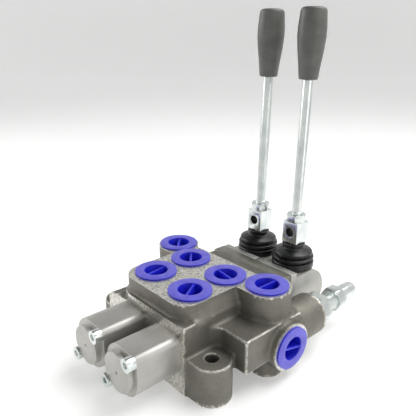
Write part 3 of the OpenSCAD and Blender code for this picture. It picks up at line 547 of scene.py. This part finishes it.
def trimmed_copy(node, name, width, segments=3, angle=35):
    return fit(rounded(taken_from(node, name), width, segments, angle), node)


def lever_turn(i):
    """The place of a lever's own axes: Z along the lever from its pivot."""
    return Matrix.Translation((SPOOL_X[i], PIVOT_Y, PIVOT_Z)) @ Matrix.Rotation(-LEAN, 4, "X")


def paint_bore_shade(piece, way, on_axis, radius):
    """Gives the wall of a tapped hole a near-black thread finish, which is painted shade inside
    the hole.
    """
    piece.data.materials.append(bore_shade)
    way, on_axis = Vector(way).normalized(), Vector(on_axis)
    for face in piece.data.polygons:
        out = face.center - on_axis
        out -= way * out.dot(way)
        if out.length < radius and abs(face.normal.dot(way)) < 0.3:
            face.material_index = 1


def clamp_block(i):
    piece = trimmed_copy(f"clamp_block_{i}", f"lever_block_{i}", 0.6 * MM)
    turn = lever_turn(i)
    paint_bore_shade(piece, turn.to_3x3() @ Vector((0, 1, 0)), turn @ Vector((0, 0, SIDE_HOLE)),
                radius=3.45 * MM)


def lock_nut(i):
    piece = taken_from(f"lock_nut_{i}", f"jam_nut_{i}")
    low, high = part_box(f"lock_nut_{i}")
    keep_common(piece, barrel((low + high) / 2, (-LEAN, 0, 0), radius=7.35 * MM,
                              length=5.6 * MM, edge=0.9 * MM))
    fit(rounded(piece, 0.12 * MM, 2), f"lock_nut_{i}")


def rod_thread(i):
    centre = lever_turn(i) @ Vector((0, 0, NUT_TOP + 0.7 * MM))
    piece = thread(f"rod_thread_{i}", centre, Matrix.Rotation(-LEAN, 4, "X"),
                   radius=3.75 * MM, pitch=0.5 * MM, length=1.5 * MM)
    fit(piece, f"lever_rod_{i}")


def relief_valve():
    neck_y = RELIEF_END + 18.2 * MM  # middle of the threaded neck
    sleeve = taken_from("relief_sleeve", "cartridge_sleeve")
    neck = thread("cartridge_thread", (RELIEF_X, neck_y, SPOOL_HEIGHT),
                  Matrix.Rotation(LYING, 4, "X"), radius=6.3 * MM, pitch=1.25 * MM,
                  length=12.6 * MM)
    fit(neck, "relief_sleeve")
    fit(rounded(sleeve, 0.5 * MM), "relief_sleeve")
    nut = taken_from("relief_lock_nut", "cartridge_nut")
    low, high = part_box("relief_lock_nut")
    keep_common(nut, barrel((low + high) / 2, (LYING, 0, 0), radius=9 * MM, length=8 * MM,
                            edge=1.1 * MM))
    fit(rounded(nut, 0.12 * MM, 2), "relief_lock_nut")
    trimmed_copy("relief_cap", "adjuster_cap", 0.5 * MM)
    trimmed_copy("relief_washer", "seal_washer", 0.3 * MM)


cast_block()
trimmed_copy("joint_plate", "adapter_plate", 0.7 * MM)
trimmed_copy("cap_screws", "cap_socket_screws", 0.35 * MM)
trimmed_copy("housing_screws", "housing_socket_screws", 0.35 * MM)
trimmed_copy("check_plug", "check_screw_plug", 0.3 * MM)
for port in ("a1", "a2", "b1", "b2", "inlet_top", "inlet_side", "outlet"):
    trimmed_copy(f"plug_{port}", f"port_cover_{port}", 0.28 * MM, 2)
for i in (1, 2):
    spring_cap(i)
    boot(i)
    lock_nut(i)
    rod_thread(i)
    trimmed_copy(f"lever_housing_{i}", f"lever_box_{i}", 0.9 * MM)
    clamp_block(i)
    trimmed_copy(f"lever_rod_{i}", f"hand_lever_{i}", 0.3 * MM)
    trimmed_copy(f"grip_{i}", f"hand_grip_{i}", 0.9 * MM, 4, 25)
relief_valve()


# Floor, backdrop, light and camera

VIEW_TURN = math.radians(48.04)  # of the camera, about the vertical
VIEW_DOWN = math.radians(19.48)
FLOOR_Z = -0.3 * MM


def studio():
    f = Finish("studio_paper", emission_color=(1, 1, 1, 1), emission_strength=0.27)
    paper = f.wears(f.blend(f.noise(4, 2), (0.90, 0.90, 0.895), (0.92, 0.92, 0.915)))
    bpy.ops.object.select_all(action="DESELECT")
    bpy.ops.mesh.primitive_plane_add(size=6, location=(0, 0, FLOOR_Z))
    floor = settle(named("floor"))
    select_faces(floor, lambda centre, normal: True)
    bpy.ops.mesh.select_mode(type="EDGE")
    close_mesh()
    for edge in floor.data.edges:
        a, b = (floor.data.vertices[k].co for k in edge.vertices)
        edge.select = a.y > 1 and b.y > 1
    bpy.ops.object.mode_set(mode="EDIT")
    bpy.ops.mesh.extrude_edges_move(TRANSFORM_OT_translate={"value": (0, 0, 3)})
    close_mesh()
    keep(floor, "BEVEL", width=0.8, segments=12, limit_method="ANGLE",
         angle_limit=math.radians(60))
    floor.data.transform(Matrix.Rotation(math.radians(48), 4, "Z"))
    smooth(floor, 60)
    floor.data.materials.append(paper)


def area_light(name, place, aim, size, power):
    lamp = bpy.data.objects.new(name, bpy.data.lights.new(name, "AREA"))
    lamp.data.shape, lamp.data.size, lamp.data.size_y = "RECTANGLE", *size
    lamp.data.energy = power
    lamp.location = place
    lamp.rotation_mode = "QUATERNION"
    lamp.rotation_quaternion = (Vector(aim) - Vector(place)).to_track_quat("-Z", "Y")
    scene.collection.objects.link(lamp)


studio()
world = bpy.data.worlds.new("studio_air")
world.use_nodes = True
world.node_tree.nodes["Background"].inputs["Color"].default_value = (1, 1, 1, 1)
world.node_tree.nodes["Background"].inputs["Strength"].default_value = 0.09
scene.world = world
middle = (0, 20 * MM, 40 * MM)
area_light("key", (0.22, 0.42, 0.88), middle, size=(0.75, 0.75), power=8.0)
area_light("side", (0.85, 0.15, 0.35), middle, size=(0.45, 0.6), power=1.0)
area_light("fill", (-0.75, -0.35, 0.45), middle, size=(0.5, 0.5), power=2.2)
scene.view_settings.view_transform = "Standard"

camera = bpy.data.objects.new("camera", bpy.data.cameras.new("camera"))
camera.data.sensor_width = 36
camera.data.lens = 41.97
camera.data.clip_start, camera.data.clip_end = 0.01, 20
camera.location = (220.56 * MM, -182.82 * MM, 202.72 * MM)
camera.rotation_euler = (math.radians(90) - VIEW_DOWN, 0, VIEW_TURN)
scene.collection.objects.link(camera)
scene.camera = camera

bpy.context.view_layer.update()
